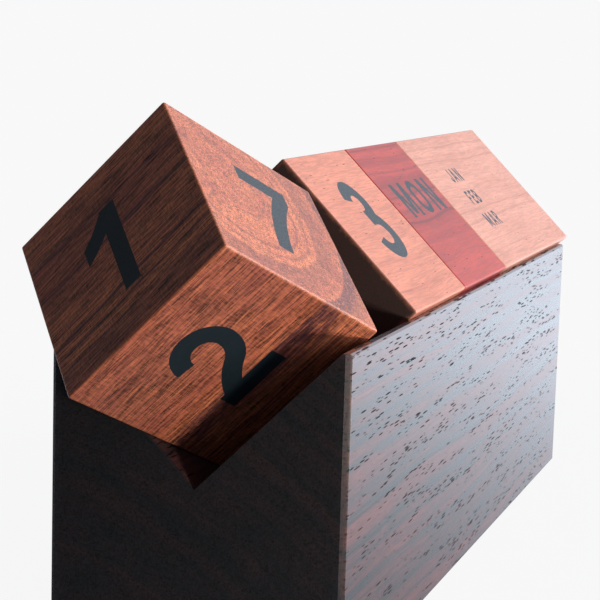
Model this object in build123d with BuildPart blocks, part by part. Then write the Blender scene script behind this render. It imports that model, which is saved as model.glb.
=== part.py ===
from build123d import *
from math import cos, radians, sin, sqrt
import os

# Perpetual block calendar, in millimetres.  A hardwood base carries a 90 degree V-groove along its
# whole length; two day cubes, a weekday cube and a month block lie on edge in the groove and turn a
# face to the reader, who stands on the -Y side.  Numerals and names are flush inlays.
# Frame: origin at the centre of the underside, +X in reading direction, +Z up.

# ---- driving dimensions ----
cube = 40.0                     # side of a day cube, and the section of every block
month_length = 78.0             # the month block is nearly two cubes long
edge_round = 0.5                # sanded edges of the blocks
base_length = 196.0
base_height = 60.0
base_width = cube * sqrt(2)     # a cube on edge is as wide as the base
land = 1.6                      # flat strip left at the top of each groove wall
corner_chamfer = 1.0            # upright corners of the base
rim_chamfer = 0.4               # long outer edges of the base
row_start = 42.6                # from the base's left end to the first block that lies square
block_gap = 0.3                 # between neighbouring blocks
twist = 38.35                   # the left day cube lies turned by this angle on the rear wall
twist_gap = 1.4                 # between the turned cube and the row
seat_gap = 0.05                 # finish thickness between a block and the groove walls
inlay_depth = 0.4
numeral_height = 20.6
weekday_height = 9.6
weekday_rise = 4.0              # the weekday's name sits above the middle of its face
weekday_shift = 1.2             # and a little to the right of it
month_height = 4.2
month_pitch = 7.2               # three months share a face, one above the other
month_left = 23.0               # middle of the names, from the block's left end
letter_gap = 0.27               # space between letters, as a share of their height

# ---- derived places ----
groove_depth = base_width / 2 - land
groove_floor = base_height - groove_depth
reader = Vector(0, -sqrt(0.5), sqrt(0.5))    # normal of the face that the reader sees
ridge = Vector(0, sqrt(0.5), sqrt(0.5))      # from the lower edge of that face to the ridge
row_left = row_start - base_length / 2

# ---- letters and numerals ----
# Each glyph is (width, strokes) for a height of 1.  A stroke is a pen's centre line: a step of two
# numbers is a line's end, and a step of four is an arc's middle and end.  Strokes are cut off at the
# glyph's box, so slanted ones run past it.
pen = 0.185
low, high = pen / 2, 1 - pen / 2
GLYPHS = {
    "0": (0.66, [[(0.0925, 0.33), (0.0925, 0.67), (0.33, 0.9075, 0.5675, 0.67)],
                 [(0.5675, 0.67), (0.5675, 0.33), (0.33, 0.0925, 0.0925, 0.33)]]),
    "1": (0.46, [[(0.3675, 0), (0.3675, 1)], [(-0.05, 0.63), (0.22, 0.8, 0.42, 1.03)]]),
    "2": (0.66, [[(0.1, 0.7), (0.325, 0.9075, 0.5675, 0.67), (0.528, 0.528, 0.43, 0.42),
                  (0.18, 0.2, 0.09, 0.04)], [(0, low), (0.66, low)]]),
    "3": (0.64, [[(0.11, 0.765), (0.315, 0.9075, 0.31, 0.525), (0.24, 0.525)],
                 [(0.24, 0.525), (0.325, 0.525), (0.5455, 0.30875, 0.325, 0.0925),
                  (0.18, 0.142, 0.105, 0.26)]]),
    "4": (0.68, [[(0.48, 0), (0.48, 1)], [(0, 0.27), (0.68, 0.27)], [(0.46, 1.06), (0.04, 0.24)]]),
    "5": (0.66, [[(0.62, high), (0.165, high), (0.125, 0.46)],
                 [(0.13, 0.473), (0.5675, 0.33, 0.102, 0.249)]]),
    "6": (0.66, [[(0.582, 0.886), (0.207, 0.803, 0.1025, 0.55), (0.1025, 0.32)],
                 [(0.1025, 0.32), (0.33, 0.5475, 0.5575, 0.32)],
                 [(0.5575, 0.32), (0.33, 0.0925, 0.1025, 0.32)]]),
    "7": (0.66, [[(0, high), (0.66, high)], [(0.59, 0.89), (0.375, 0.46, 0.26, -0.02)]]),
    "8": (0.66, [[(0.15, 0.7175), (0.33, 0.9075, 0.51, 0.7175), (0.33, 0.53, 0.15, 0.7175)],
                 [(0.1025, 0.31), (0.33, 0.53, 0.5575, 0.31), (0.33, 0.0925, 0.1025, 0.31)]]),
    "A": (0.76, [[(0.06, -0.1), (0.38, 1.02)], [(0.7, -0.1), (0.38, 1.02)], [(0.18, 0.3), (0.58, 0.3)]]),
    "B": (0.66, [[(low, 0), (low, 1)], [(low, high), (0.35, high), (0.55, 0.7125, 0.35, 0.5175),
                                        (low, 0.5175)],
                 [(low, 0.51), (0.36, 0.51), (0.5675, 0.30125, 0.36, low), (low, low)]]),
    "C": (0.72, [[(0.609, 0.7306), (0.36, high, 0.0925, 0.64), (0.0925, 0.36),
                  (0.36, low, 0.609, 0.2694)]]),
    "D": (0.7, [[(low, 0), (low, 1)], [(low, high), (0.2, high), (0.6075, 0.5, 0.2, low), (low, low)]]),
    "E": (0.56, [[(low, 0), (low, 1)], [(low, high), (0.56, high)], [(low, 0.5), (0.52, 0.5)],
                 [(low, low), (0.56, low)]]),
    "F": (0.54, [[(low, 0), (low, 1)], [(low, high), (0.54, high)], [(low, 0.48), (0.5, 0.48)]]),
    "G": (0.74, [[(0.609, 0.7306), (0.36, high, 0.0925, 0.64), (0.0925, 0.36),
                  (0.38, low, 0.6475, 0.36)], [(0.4, 0.44), (0.74, 0.44)], [(0.6475, 0.36), (0.6475, 0.5)]]),
    "H": (0.7, [[(low, 0), (low, 1)], [(0.6075, 0), (0.6075, 1)], [(low, 0.5), (0.6075, 0.5)]]),
    "I": (0.185, [[(low, 0), (low, 1)]]),
    "J": (0.52, [[(0.4275, 1), (0.4275, 0.26), (0.26, low, 0.0925, 0.26), (0.0925, 0.34)]]),
    "L": (0.54, [[(low, 0), (low, 1)], [(low, low), (0.54, low)]]),
    "M": (0.88, [[(low, 0), (low, 1)], [(0.7875, 0), (0.7875, 1)], [(0.08, 1.1), (0.44, 0.1)],
                 [(0.8, 1.1), (0.44, 0.1)]]),
    "N": (0.72, [[(low, 0), (low, 1)], [(0.6275, 0), (0.6275, 1)], [(0.06, 1.1), (0.66, -0.1)]]),
    "O": (0.8, [[(0.0925, 0.4), (0.0925, 0.6), (0.4, high, 0.7075, 0.6)],
                [(0.7075, 0.6), (0.7075, 0.4), (0.4, low, 0.0925, 0.4)]]),
    "P": (0.62, [[(low, 0), (low, 1)], [(low, high), (0.32, high), (0.5275, 0.6975, 0.32, 0.4875),
                                        (low, 0.4875)]]),
    "R": (0.66, [[(low, 0), (low, 1)], [(low, high), (0.34, high), (0.5475, 0.6975, 0.34, 0.4875),
                                        (low, 0.4875)], [(0.32, 0.5), (0.6, -0.1)]]),
    "S": (0.62, [[(0.5, 0.772), (0.144, 0.8187, 0.31, 0.5), (0.4759, 0.1813, 0.1197, 0.2282)]]),
    "T": (0.64, [[(0, high), (0.64, high)], [(0.32, 0), (0.32, high)]]),
    "U": (0.7, [[(0.0925, 1), (0.0925, 0.35), (0.35, low, 0.6075, 0.35), (0.6075, 1)]]),
    "V": (0.72, [[(0.05, 1.1), (0.36, -0.02)], [(0.67, 1.1), (0.36, -0.02)]]),
    "W": (1.02, [[(0.06, 1.1), (0.29, -0.02)], [(0.51, 1.02), (0.29, -0.02)],
                 [(0.51, 1.02), (0.73, -0.02)], [(0.96, 1.1), (0.73, -0.02)]]),
    "Y": (0.7, [[(0.04, 1.1), (0.35, 0.44)], [(0.66, 1.1), (0.35, 0.44)], [(0.35, 0), (0.35, 0.52)]]),
}


def draw_stroke(stroke, scale):
    """Draw one centre line, at the glyph's scale, in the line builder that is open."""
    here = Vector(*stroke[0]) * scale
    for step in stroke[1:]:
        there = Vector(*step[-2:]) * scale
        if len(step) == 2:
            Line(here, there)
        else:
            ThreePointArc(here, Vector(*step[:2]) * scale, there)
        here = there


def glyph_sketch(letter, height):
    """One glyph in the XY plane, standing on the X axis with its left side at the origin."""
    width, strokes = GLYPHS[letter]
    with BuildSketch() as glyph:
        for stroke in strokes:
            with BuildLine():
                draw_stroke(stroke, height)
            trace(line_width=pen * height)
        with Locations((width * height / 2, height / 2)):
            Rectangle(width * height, height, mode=Mode.INTERSECT)
    return glyph.sketch


def word_sketch(plane, word, height, middle=(0, 0), turned=0):
    """A word on a plane, turned in the plane by an angle; middle is its middle as it is then read."""
    widths = [GLYPHS[letter][0] * height for letter in word]
    total = sum(widths) + letter_gap * height * (len(word) - 1)
    with BuildSketch(plane) as marks:
        with Locations(Location((0, 0, 0), (0, 0, turned)) * Location((*middle, 0))):
            left = -total / 2
            for letter, width in zip(word, widths):
                with Locations((left, -height / 2)):
                    add(glyph_sketch(letter, height))
                left += width + letter_gap * height
    return marks.sketch


# ---- blocks ----
def square_seat(left, length):
    """The middle of a block that lies square in the groove: X along it, Z towards the reader."""
    rise = (cube / 2 + seat_gap) * sqrt(2)
    return Plane(origin=(left + length / 2, 0, groove_floor + rise),
                 x_dir=(1, 0, 0), z_dir=reader)


def turned_seat(right):
    """The middle of a cube whose rear face lies on the rear wall, turned about that face's normal
    until its lowest edge rests on the front wall.  Its rightmost edge is at X = right."""
    half = cube / 2 * (sin(radians(twist)) + cos(radians(twist)))
    middle = Vector(right - half, 0, groove_floor)
    middle += reader * (cube / 2 + seat_gap) + ridge * (half + seat_gap)
    along = Vector(1, 0, 0) * cos(radians(twist)) - ridge * sin(radians(twist))
    return Plane(origin=middle, x_dir=along, z_dir=reader)


def face_planes(seat, length):
    """A block's faces, by name, as planes whose X is to the right and Y is up for who reads them."""
    x, y, z = seat.x_dir, seat.y_dir, seat.z_dir
    half = cube / 2
    return {
        "front": Plane(seat.origin + z * half, x_dir=x, z_dir=z),
        "top": Plane(seat.origin + y * half, x_dir=x, z_dir=y),
        "back": Plane(seat.origin - z * half, x_dir=x, z_dir=-z),
        "bottom": Plane(seat.origin - y * half, x_dir=x, z_dir=-y),
        "left": Plane(seat.origin - x * (length / 2), x_dir=z, z_dir=-x),
        "right": Plane(seat.origin + x * (length / 2), x_dir=-z, z_dir=x),
    }


def write(solid, name):
    """Label one sub-part and write its STEP file."""
    solid.label = name
    export_step(solid, f"parts/{name}.step")


def make_block(name, seat, length, inlays):
    """A block with its inlays; inlays maps a node's name to a sketch on one of the faces."""
    with BuildPart(seat) as block:
        Box(length, cube, cube)
        fillet(block.edges(), radius=edge_round)
        for marks in inlays.values():
            extrude(marks, amount=-inlay_depth, mode=Mode.SUBTRACT)
    write(block.part, name)
    for inlay_name, marks in inlays.items():
        with BuildPart() as inlay:
            extrude(marks, amount=-inlay_depth)
        write(inlay.part, inlay_name)


def make_day_cube(name, seat, numerals):
    """A day cube; numerals maps a face's name to (numeral, its turn on that face, its middle).
    The numerals are set by hand, so each is a little off the middle of its face."""
    faces = face_planes(seat, cube)
    inlays = {}
    for face, (numeral, turned, middle) in numerals.items():
        inlays[f"{name}_numeral_{numeral}"] = word_sketch(faces[face], numeral, numeral_height,
                                                          middle, turned)
    make_block(name, seat, cube, inlays)


os.makedirs("parts", exist_ok=True)

# ---- base block ----
with BuildPart() as base_block:
    with BuildSketch(Plane.YZ.offset(-base_length / 2)) as section:
        with BuildLine():
            Polyline((-base_width / 2, 0), (base_width / 2, 0), (base_width / 2, base_height),
                     (groove_depth, base_height), (0, groove_floor), (-groove_depth, base_height),
                     (-base_width / 2, base_height), close=True)
        make_face()
    extrude(amount=base_length)
    uprights = base_block.edges().filter_by(Axis.Z)
    chamfer(uprights, length=corner_chamfer)
    outer_faces = base_block.faces().filter_by(Axis.Y)
    long_edges = outer_faces.edges().filter_by(Axis.X)
    chamfer(long_edges, length=rim_chamfer)
write(base_block.part, "base_block")

# ---- day cubes: 0 to 5 on one, 0, 1, 2, 6, 7 and 8 on the other, where 6 serves as 9 ----
make_day_cube("day_cube_left", turned_seat(row_left - twist_gap),
              {"front": ("7", 0, (1.5, 1.0)), "left": ("1", 0, (-2.1, 0)),
               "bottom": ("2", 90, (-0.1, 1.4)), "right": ("0", 0, (0, 0.8)),
               "top": ("6", 0, (0, 0.8)), "back": ("8", 180, (0, 0.8))})
make_day_cube("day_cube_right", square_seat(row_left, cube),
              {"front": ("3", 0, (0, 1.8)), "left": ("5", 0, (0, 0.8)), "bottom": ("4", 0, (0, 0.8)),
               "right": ("1", 0, (-1.0, 0)), "top": ("0", 0, (0, 0.8)), "back": ("2", 180, (0, 1.4))})

# ---- weekday cube: Saturday and Sunday share a face, head to foot ----
weekday_left = row_left + cube + block_gap
weekday_seat = square_seat(weekday_left, cube)
weekday_faces = face_planes(weekday_seat, cube)
weekdays = {}
for face, day in zip(("front", "top", "back", "bottom", "left"), ("MON", "TUE", "WED", "THU", "FRI")):
    weekdays[f"weekday_{day.lower()}"] = word_sketch(weekday_faces[face], day, weekday_height,
                                                     (weekday_shift, weekday_rise))
for day, turned in (("SAT", 0), ("SUN", 180)):
    weekdays[f"weekday_{day.lower()}"] = word_sketch(weekday_faces["right"], day, weekday_height,
                                                     (0, 2 * weekday_rise), turned)
make_block("weekday_cube", weekday_seat, cube, weekdays)

# ---- month block: three months on each long face ----
month_left_end = weekday_left + cube + block_gap
month_seat = square_seat(month_left_end, month_length)
month_faces = face_planes(month_seat, month_length)
year = [("JAN", "FEB", "MAR"), ("APR", "MAY", "JUN"), ("JUL", "AUG", "SEP"), ("OCT", "NOV", "DEC")]
months = {}
for face, quarter in zip(("front", "top", "back", "bottom"), year):
    for line, month in enumerate(quarter):
        place = (month_left - month_length / 2, (1 - line) * month_pitch)
        months[f"month_{month.lower()}"] = word_sketch(month_faces[face], month, month_height, place)
make_block("month_block", month_seat, month_length, months)
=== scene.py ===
from math import cos, radians, sin, sqrt

import bpy
from mathutils import Matrix, Vector


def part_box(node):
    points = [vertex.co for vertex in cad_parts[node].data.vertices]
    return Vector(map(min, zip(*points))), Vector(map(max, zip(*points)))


# A perpetual block calendar.  The CAD nodes keep their shapes; this script gives each block its own
# piece of wood, a solid texture cut by the block's faces, and sets the light and the camera.
# Lengths are metres in the row's frame, and millimetres inside the wood textures.

MM = 0.001
TWIST = radians(38.35)          # how far the left day cube is turned on the rear wall of the groove

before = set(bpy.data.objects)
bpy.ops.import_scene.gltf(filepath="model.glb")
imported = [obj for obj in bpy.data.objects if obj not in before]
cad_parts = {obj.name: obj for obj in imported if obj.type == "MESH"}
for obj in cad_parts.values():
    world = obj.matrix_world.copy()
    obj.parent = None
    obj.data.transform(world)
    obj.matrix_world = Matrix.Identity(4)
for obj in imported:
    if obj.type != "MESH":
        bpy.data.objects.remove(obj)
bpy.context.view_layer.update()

reader = Vector((0, -sqrt(0.5), sqrt(0.5)))     # the face that is read looks this way
ridge = Vector((0, sqrt(0.5), sqrt(0.5)))
along = Vector((1, 0, 0))


# ---- node helpers ----
class Graph:
    """A node tree, with short calls for the nodes that the wood, the floor and the room need."""

    def __init__(self, tree):
        self.tree = tree

    def node(self, kind, inputs=None, **settings):
        made = self.tree.nodes.new(kind)
        for key, value in settings.items():
            setattr(made, key, value)
        for key, value in (inputs or {}).items():
            self.feed(made.inputs[key], value)
        return made

    def feed(self, socket, value):
        if isinstance(value, bpy.types.NodeSocket):
            self.tree.links.new(value, socket)
        else:
            socket.default_value = value

    def math(self, operation, a, b=0.0, clamp=False):
        made = self.node("ShaderNodeMath", {0: a, 1: b}, operation=operation, use_clamp=clamp)
        return made.outputs[0]

    def vector(self, operation, a, b=(0, 0, 0)):
        return self.node("ShaderNodeVectorMath", {0: a, 1: b}, operation=operation).outputs[0]

    def noise(self, place, scale=1.0, detail=2.0, rough=0.5, output="Fac"):
        made = self.node("ShaderNodeTexNoise",
                         {"Vector": place, "Scale": scale, "Detail": detail, "Roughness": rough})
        return made.outputs[output]

    def remap(self, value, low, high, to_low=0.0, to_high=1.0):
        made = self.node("ShaderNodeMapRange",
                         {"Value": value, "From Min": low, "From Max": high,
                          "To Min": to_low, "To Max": to_high}, interpolation_type="SMOOTHSTEP")
        return made.outputs["Result"]

    def mix(self, amount, a, b):
        made = self.node("ShaderNodeMix", data_type="RGBA", blend_type="MIX")
        self.feed(made.inputs["Factor"], amount)
        self.feed(made.inputs[6], a)
        self.feed(made.inputs[7], b)
        return made.outputs[2]


class Surface(Graph):
    """A new material's node tree."""

    def __init__(self, name):
        self.material = bpy.data.materials.new(name)
        self.material.use_nodes = True
        super().__init__(self.material.node_tree)
        self.shader = self.tree.nodes["Principled BSDF"]


def rgb(red, green, blue):
    """A colour for a socket, from linear values."""
    return (red, green, blue, 1.0)


# ---- where each block is ----
def square_axes():
    """Axes of a block that lies square in the groove: along it, up its read face, out of it."""
    return along, ridge, reader


def turned_axes():
    """Axes of the left day cube, turned about the normal of its read face."""
    x = along * cos(TWIST) - ridge * sin(TWIST)
    return x, reader.cross(x), reader


def block_matrix(node, axes):
    """From the row's frame in metres to the block's own frame in millimetres."""
    low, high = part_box(node)
    to_row = Matrix(axes).transposed().to_4x4()
    to_row.translation = (low + high) / 2
    return Matrix.Scale(1 / MM, 4) @ to_row.inverted()


def half_sizes(length, width, height):
    return length / 2, width / 2, height / 2


# ---- wood ----
GRAIN_ORDER = {"x": (1, 2, 0), "z": (0, 1, 2)}      # a block's axes, with the fibres' axis last
END_FADE = (0.05, 0.5)          # millimetres over which the end grain gives way to the sides
WANDER, SHIVER = 5, 0.7         # how far the rings stray, slowly and quickly, in millimetres
TONE_SPREAD = 0.25              # half the range of tone between the light and the dark wood
PORE_EDGE = 0.04                # half the width of a pore's soft edge, in cells of its grid
COAT_ROUGHNESS = 0.22


def edge_distance(g, place, halves):
    """How far a point on a box's surface is from the nearest edge, in millimetres."""
    parts = g.node("ShaderNodeSeparateXYZ", {0: g.vector("ABSOLUTE", place)}).outputs
    x, y, z = (g.math("SUBTRACT", half, part) for half, part in zip(halves, parts))
    near = g.math("MINIMUM", x, y)
    far = g.math("MAXIMUM", x, y)
    return g.math("MAXIMUM", near, g.math("MINIMUM", far, z))


def corner_distance(g, place, halves):
    """How far a point on a box's side is from the nearest upright corner, in millimetres."""
    parts = g.node("ShaderNodeSeparateXYZ", {0: g.vector("ABSOLUTE", place)}).outputs
    x, y = (g.math("SUBTRACT", half, part) for half, part in zip(halves[:2], parts[:2]))
    return g.math("MAXIMUM", x, y)


def wood(name, to_block, halves, grain, pith, light, dark, vein, bands=(), pores=(1.0, 2.3, 0.21),
         broad_ring=6.0, ring=1.6, figure=1.0, rough_grain=1.0, ripple=0.0, finish=(0.45, 0.0),
         coat_ior=1.5, matt_ends=0.0, end_grain_and_shade_tone=(0.0, 0.0, 0.0), end_depth=END_FADE,
         specular=0.5, relief=0.00009, seed=0.0):
    """A block's wood, as a solid texture.  grain names the block's axis that the fibres follow, and
    pith is the middle of the growth rings across that axis.  light, dark and vein are its colours.
    bands are rings that stand out, each with an inner and an outer radius and a strength.  broad_ring
    and ring are the spacings of the broad and the fine rings, in millimetres.  pores is
    their size in the cells of a grid, and that grid's cells in a millimetre across and along the
    fibres.  figure is the contrast of the rings, rough_grain of the fibres and ripple of waves across
    them.  finish is (roughness, coat).  matt_ends takes the coat off the end grain and turns its
    colour towards the end tone given, over end_depth: a darker end-grain tone, which on the right
    day cube is a near-black painted shade.  relief is the depth of the bumps in metres, and seed
    picks the place along the log."""
    g = Surface(name)
    coords = g.node("ShaderNodeTexCoord").outputs["Object"]
    matrix = g.node("ShaderNodeMapping", {"Vector": coords}, vector_type="POINT")
    scale = to_block.to_scale()[0]
    matrix.inputs["Scale"].default_value = (scale, scale, scale)
    matrix.inputs["Rotation"].default_value = to_block.to_quaternion().to_euler()
    matrix.inputs["Location"].default_value = to_block.translation
    place = matrix.outputs["Vector"]

    # the log's frame: Z along the fibres, and the origin at the pith
    parts = g.node("ShaderNodeSeparateXYZ", {0: place}).outputs
    order = GRAIN_ORDER[grain]
    log = g.node("ShaderNodeCombineXYZ", {i: parts[j] for i, j in enumerate(order)}).outputs[0]
    end = g.math("SUBTRACT", halves[order[2]], g.math("ABSOLUTE", parts[order[2]]))
    end_face = g.remap(end, *end_depth, 1.0, 0.0)
    log = g.vector("SUBTRACT", log, (*pith, seed * 37))

    # growth rings that wander a little along the log
    slow = g.vector("MULTIPLY", log, (0.05, 0.05, 0.012))
    wander = g.vector("SUBTRACT", g.noise(slow, 1.0, 2.0, output="Color"), (0.5, 0.5, 0.5))
    quick = g.vector("MULTIPLY", log, (0.5, 0.5, 0.05))
    shiver = g.vector("SUBTRACT", g.noise(quick, 1.0, 2.0, output="Color"), (0.5, 0.5, 0.5))
    bent = g.vector("ADD", log, g.vector("MULTIPLY", wander, (WANDER, WANDER, 0)))
    bent = g.vector("ADD", bent, g.vector("MULTIPLY", shiver, (SHIVER, SHIVER, 0)))
    flat = g.vector("MULTIPLY", bent, (1, 1, 0))
    radius = g.node("ShaderNodeVectorMath", {0: flat}, operation="LENGTH").outputs["Value"]
    broad = g.node("ShaderNodeTexNoise", {"W": radius, "Scale": 1 / broad_ring, "Detail": 2.0},
                   noise_dimensions="1D").outputs["Fac"]
    fine = g.node("ShaderNodeTexNoise", {"W": radius, "Scale": 1 / ring, "Detail": 4.0,
                                         "Roughness": 0.6}, noise_dimensions="1D").outputs["Fac"]

    # fibres, short flecks, clouds and open pores
    fibre = g.noise(g.vector("MULTIPLY", bent, (2.8, 2.8, 0.13)), 1.0, 4.0, 0.75)
    fleck = g.noise(g.vector("MULTIPLY", log, (1.6, 1.6, 0.35)), 1.0, 3.0, 0.6)
    cloud = g.noise(g.vector("MULTIPLY", bent, (0.14, 0.14, 0.04)), 1.0, 3.0, 0.55)
    pore_size, across, lengthways = pores
    grid = g.vector("MULTIPLY", log, (across, across, lengthways))
    cell = g.node("ShaderNodeTexVoronoi", {"Vector": grid,
                                           "Scale": 1.0, "Randomness": 1.0})
    chosen = g.node("ShaderNodeSeparateColor", {0: cell.outputs["Color"]}).outputs[0]
    crowd = g.noise(g.vector("MULTIPLY", bent, (0.5, 0.5, 0.03)), 1.0, 1.0)
    size = g.math("MULTIPLY", g.remap(chosen, 0.2, 1.0, 0.0, 0.3 * pore_size),
                  g.remap(crowd, 0.35, 0.6, 0.45, 1.2))
    pore = g.remap(g.math("SUBTRACT", cell.outputs["Distance"], size), -PORE_EDGE, PORE_EDGE, 1.0, 0.0)
    pore = g.math("MULTIPLY", pore,
                  g.math("SUBTRACT", 1.0, g.math("MULTIPLY", end_face, 0.8 * matt_ends)))

    rings = g.math("ADD", g.math("MULTIPLY", broad, 0.55), g.math("MULTIPLY", fine, 0.45))
    rings = g.math("MULTIPLY", g.math("SUBTRACT", rings, 0.5),
                   g.remap(end, *END_FADE, 0.6 * figure, figure))
    tone = g.math("ADD", g.math("ADD", rings, 0.5 * figure), g.math("MULTIPLY", fleck, 0.3))
    tone = g.math("ADD", tone, g.math("MULTIPLY", cloud, 0.4))
    middle = 0.5 * (figure + 0.7)
    colour = g.mix(g.remap(tone, middle - TONE_SPREAD, middle + TONE_SPREAD), light, dark)
    streak = g.remap(fine, 0.57, 0.72, 0.0, 0.6 * figure)
    streak = g.math("MULTIPLY", streak, g.math("SUBTRACT", 1.0, g.math("MULTIPLY", end_face, 0.6)))
    for inner, outer, strength in bands:
        rise = g.remap(radius, inner - 0.5, inner + 0.5)
        fall = g.remap(radius, outer - 3.0, outer + 3.0, 1.0, 0.0)
        inside = g.math("MULTIPLY", g.math("MULTIPLY", rise, fall), strength)
        streak = g.math("MAXIMUM", streak, g.math("MULTIPLY", inside, g.remap(fleck, 0.25, 0.6)))
    colour = g.mix(streak, colour, vein)
    # the end grain is turned towards the end tone; on the right day cube that near-black tone is painted
    # shade
    colour = g.mix(g.math("MULTIPLY", end_face, matt_ends * 0.95), colour, rgb(*end_grain_and_shade_tone))
    grit = g.math("ADD", g.remap(fibre, 0.38, 0.62, 1.0 - 0.5 * rough_grain, 1.0 + 0.4 * rough_grain),
                  g.math("MULTIPLY", g.math("SUBTRACT", fleck, 0.5),
                         g.remap(end, *END_FADE, 0.9 * rough_grain, 0.6 * rough_grain)))
    if ripple:
        wave = g.noise(g.vector("MULTIPLY", log, (0.7, 0.7, 2.8)), 1.0, 1.0)
        grit = g.math("ADD", grit, g.math("MULTIPLY", g.math("SUBTRACT", wave, 0.5), ripple))
    shade = g.node("ShaderNodeCombineXYZ", {0: grit, 1: grit, 2: grit}).outputs[0]
    colour = g.vector("MULTIPLY", colour, shade)
    colour = g.mix(g.math("MULTIPLY", pore, 0.85), colour, rgb(*(c * 0.15 for c in vein[:3])))

    # edges are a little paler, partly from wear by hands and sandpaper and partly as a painted highlight
    # along the edges
    edge = edge_distance(g, place, halves)
    ragged = g.math("MULTIPLY", g.noise(place, 0.9, 4.0), 1.8)
    wear_and_edge_highlight = g.remap(g.math("SUBTRACT", edge, ragged), -0.8, 0.2, 0.2, 0.0)
    colour = g.mix(wear_and_edge_highlight, colour, rgb(*(min(1.0, c * 1.3) for c in light[:3])))

    height = g.math("ADD", g.math("MULTIPLY", fibre, 0.4), g.math("MULTIPLY", pore, -1.0))
    bump = g.node("ShaderNodeBump", {"Height": height, "Strength": 0.6, "Distance": relief})
    roughness, coat = finish
    rough = g.math("ADD", g.math("MULTIPLY", fibre, 0.16), roughness - 0.08)
    rough = g.math("ADD", rough, g.math("MULTIPLY", pore, 0.4))
    rough = g.math("ADD", rough, g.math("MULTIPLY", end_face, matt_ends * 0.3), clamp=True)
    g.feed(g.shader.inputs["Base Color"], colour)
    g.feed(g.shader.inputs["Roughness"], rough)
    g.feed(g.shader.inputs["Normal"], bump.outputs["Normal"])
    film = g.remap(tone, middle - TONE_SPREAD, middle + TONE_SPREAD, coat * 0.8, coat)
    film = g.math("MULTIPLY", film, g.math("SUBTRACT", 1.0, pore))
    film = g.math("MULTIPLY", film, g.remap(corner_distance(g, place, halves), 0.9, 1.2, 0.2, 1.0))
    inwards = g.math("SUBTRACT", halves[1], g.math("ABSOLUTE", parts[1]))
    film = g.math("MULTIPLY", film, g.remap(inwards, 1.5, 2.5, 1.0, 0.2))
    film = g.math("MULTIPLY", film, g.math("SUBTRACT", 1.0, g.math("MULTIPLY", end_face, matt_ends)))
    g.feed(g.shader.inputs["Coat Weight"], film)
    g.shader.inputs["Coat Roughness"].default_value = COAT_ROUGHNESS
    g.shader.inputs["Coat IOR"].default_value = coat_ior
    g.shader.inputs["Specular IOR Level"].default_value = specular
    return g.material


def ink():
    """The blue-black filling of the numerals and names: satin, with a faint orange-peel."""
    g = Surface("inlay")
    coords = g.node("ShaderNodeTexCoord").outputs["Object"]
    grain = g.noise(coords, 2500.0, 3.0, 0.6)
    cloud = g.noise(coords, 120.0, 2.0)
    colour = g.mix(g.remap(cloud, 0.3, 0.7), rgb(0.004, 0.01, 0.016), rgb(0.006, 0.014, 0.021))
    bump = g.node("ShaderNodeBump", {"Height": grain, "Strength": 0.25, "Distance": 0.00003})
    g.feed(g.shader.inputs["Base Color"], colour)
    g.feed(g.shader.inputs["Roughness"], g.remap(grain, 0.3, 0.7, 0.36, 0.5))
    g.feed(g.shader.inputs["Normal"], bump.outputs["Normal"])
    return g.material


def dress(node, material):
    """Give a CAD node its material."""
    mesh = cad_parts[node].data
    mesh.materials.clear()
    mesh.materials.append(material)


cube_low, cube_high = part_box("day_cube_right")
cube = (cube_high.x - cube_low.x) / MM
month_low, month_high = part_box("month_block")
base_low, base_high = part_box("base_block")
base_size = (base_high - base_low) / MM

woods = {
    "base_block": wood("base_wood", block_matrix("base_block", (along, Vector((0, 1, 0)), Vector((0, 0, 1)))),
                       half_sizes(*base_size), "x", (45, -80), rgb(0.11, 0.036, 0.034),
                       rgb(0.013, 0.0135, 0.017), rgb(0.006, 0.006, 0.007), broad_ring=3.2, ring=1.5,
                       pores=(1.6, 2.0, 0.18), rough_grain=0.6, finish=(0.4, 1.0), coat_ior=1.75,
                       matt_ends=0.82, end_grain_and_shade_tone=(0.014, 0.019, 0.023), end_depth=(0.6, 1.1),
                       specular=0.12, seed=1.0),
    "day_cube_left": wood("left_cube_wood", block_matrix("day_cube_left", turned_axes()),
                          half_sizes(cube, cube, cube), "z", (-10, 6), rgb(0.56, 0.168, 0.072),
                          rgb(0.35, 0.085, 0.05), rgb(0.08, 0.026, 0.036),
                          bands=((22, 27, 0.45), (29.5, 34, 0.9)), pores=(0.7, 2.3, 0.16), ring=1.3,
                          figure=1.2, rough_grain=1.2, ripple=1.2, relief=0.00016, seed=2.0),
    # this cube's end grain is painted near black: painted shade for its end in the gap beside the left cube
    "day_cube_right": wood("right_cube_wood", block_matrix("day_cube_right", square_axes()),
                           half_sizes(cube, cube, cube), "x", (14, -30), rgb(0.62, 0.21, 0.125),
                           rgb(0.44, 0.14, 0.085), rgb(0.3, 0.09, 0.055), figure=0.6, rough_grain=0.4,
                           pores=(0.5, 2.3, 0.21), matt_ends=1.0, end_grain_and_shade_tone=(0.014, 0.011, 0.013), seed=3.0),
    "weekday_cube": wood("weekday_wood", block_matrix("weekday_cube", square_axes()),
                         half_sizes(cube, cube, cube), "x", (-25, -12), rgb(0.42, 0.042, 0.028),
                         rgb(0.25, 0.02, 0.016), rgb(0.16, 0.013, 0.013), figure=1.3, rough_grain=0.4,
                         pores=(0.5, 2.3, 0.21), seed=4.0),
    "month_block": wood("month_wood", block_matrix("month_block", square_axes()),
                        half_sizes((month_high.x - month_low.x) / MM, cube, cube), "x", (-28, 20),
                        rgb(0.62, 0.28, 0.2), rgb(0.48, 0.19, 0.13), rgb(0.36, 0.13, 0.09),
                        figure=0.6, rough_grain=0.3, pores=(0.4, 2.3, 0.21), seed=5.0),
}
inlay = ink()
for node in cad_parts:
    dress(node, woods.get(node, inlay))


# ---- floor, light and camera ----
BACKDROP = 0.9387               # what the camera sees of the room and the table: an even pale grey
BRIGHT_SIDE = Vector((0.85, -0.5, 0.2)).normalized()
ROOM_TINT = (0.78, 0.88, 1.0)
ROOM_BRIGHT, ROOM_DIM = 1.2, 0.13
TABLE_BRIGHT, TABLE_DIM = 1.9, 0.15
FLOOR_REACH = 30.0
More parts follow.
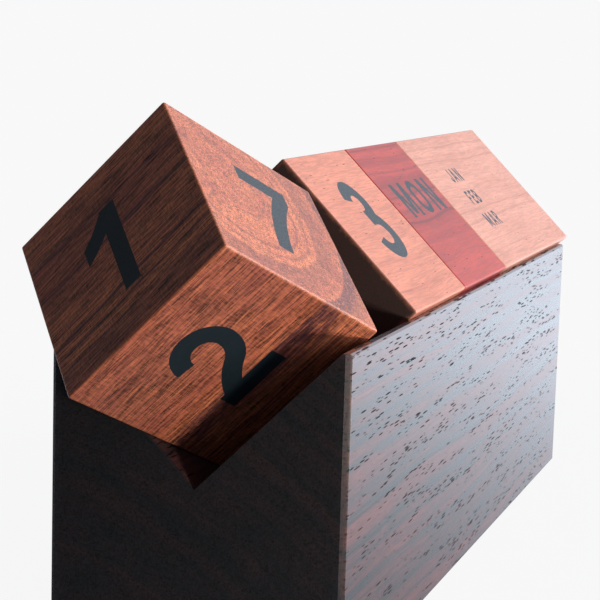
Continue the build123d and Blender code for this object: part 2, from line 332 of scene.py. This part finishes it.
# each lamp is a name, a place, a size, a power and a colour
WINDOW = ("window", (0.4, -1.1, 0.4), 0.7, 19.0, (1.0, 0.98, 0.96))
BOUNCE = ("bounce", (-0.185, -0.2, 0.012), 0.04, 0.43, (1.0, 0.95, 0.8))


def glow(g, seen, colour, strength):
    """A glowing shader: of this colour and strength, and as the even backdrop to the camera."""
    light = g.node("ShaderNodeEmission", {"Color": (*colour, 1.0), "Strength": strength})
    plain = g.node("ShaderNodeEmission", {"Color": (1.0, 1.0, 1.0, 1.0), "Strength": BACKDROP})
    both = g.node("ShaderNodeMixShader", {0: seen})
    g.tree.links.new(light.outputs[0], both.inputs[1])
    g.tree.links.new(plain.outputs[0], both.inputs[2])
    return both.outputs[0]


def make_floor():
    """A luminous table top, brightest behind the object, that takes a faint shadow."""
    mesh = bpy.data.meshes.new("floor")
    side = FLOOR_REACH
    corners = [(-side, -side, 0), (side, -side, 0), (side, side, 0), (-side, side, 0)]
    mesh.from_pydata(corners, [], [(0, 1, 2, 3)])
    floor = bpy.data.objects.new("floor", mesh)
    bpy.context.scene.collection.objects.link(floor)
    g = Surface("floor")
    coords = g.node("ShaderNodeTexCoord").outputs["Object"]
    x = g.node("ShaderNodeSeparateXYZ", {0: coords}).outputs[0]
    seen = g.node("ShaderNodeLightPath").outputs["Is Camera Ray"]
    far = g.node("ShaderNodeVectorMath", {0: coords}, operation="LENGTH").outputs["Value"]
    g.feed(g.shader.inputs["Base Color"], rgb(0.9, 0.9, 0.9))
    g.shader.inputs["Roughness"].default_value = 0.8
    g.shader.inputs["Specular IOR Level"].default_value = 0.0
    bright = glow(g, seen, ROOM_TINT, g.remap(x, -0.2, 0.38, TABLE_DIM, TABLE_BRIGHT))
    both = g.node("ShaderNodeMixShader", {0: g.remap(far, 0.08, 0.3, 0.97, 1.0)})
    g.tree.links.new(g.shader.outputs[0], both.inputs[1])
    g.tree.links.new(bright, both.inputs[2])
    g.tree.links.new(both.outputs[0], g.tree.nodes["Material Output"].inputs["Surface"])
    mesh.materials.append(g.material)


def make_light():
    """A bright soft room behind the object and to its right, dim where the camera stands, a soft
    window on the reader's side, and a small low lamp for the left cube's lower face."""
    world = bpy.data.worlds.new("studio")
    bpy.context.scene.world = world
    world.use_nodes = True
    g = Graph(world.node_tree)
    way = g.node("ShaderNodeTexCoord").outputs["Generated"]
    facing = g.node("ShaderNodeVectorMath", {0: way, 1: BRIGHT_SIDE}, operation="DOT_PRODUCT")
    seen = g.node("ShaderNodeLightPath").outputs["Is Camera Ray"]
    room = glow(g, seen, ROOM_TINT, g.remap(facing.outputs["Value"], 0.0, 0.75, ROOM_DIM, ROOM_BRIGHT))
    g.tree.links.new(room, g.tree.nodes["World Output"].inputs["Surface"])

    aim = Vector((-0.1, 0, 0.06))
    for name, place, size, power, colour in (WINDOW, BOUNCE):
        lamp = bpy.data.lights.new(name, "AREA")
        lamp.size = size
        lamp.energy = power
        lamp.color = colour
        stand = bpy.data.objects.new(name, lamp)
        stand.location = place
        stand.rotation_euler = (Vector(place) - aim).to_track_quat("Z", "Y").to_euler()
        bpy.context.scene.collection.objects.link(stand)


def make_camera():
    """A long lens, low and close, that looks along the row from the object's left."""
    camera = bpy.data.cameras.new("camera")
    camera.sensor_width = 36.0
    camera.lens = 106.96
    camera.clip_start = 0.01
    look = Vector((0.938, 0.3161, -0.1425))
    right = Vector((0.3231, -0.9459, 0.029))
    up = right.cross(look)
    matrix = Matrix((right, up, -look)).transposed().to_4x4()
    matrix.translation = (-0.3841, -0.1152, base_high.z + 0.05224)
    camera_object = bpy.data.objects.new("camera", camera)
    camera_object.matrix_world = matrix
    bpy.context.scene.collection.objects.link(camera_object)
    bpy.context.scene.camera = camera_object


make_floor()
make_light()
make_camera()
bpy.context.scene.view_settings.view_transform = "Standard"
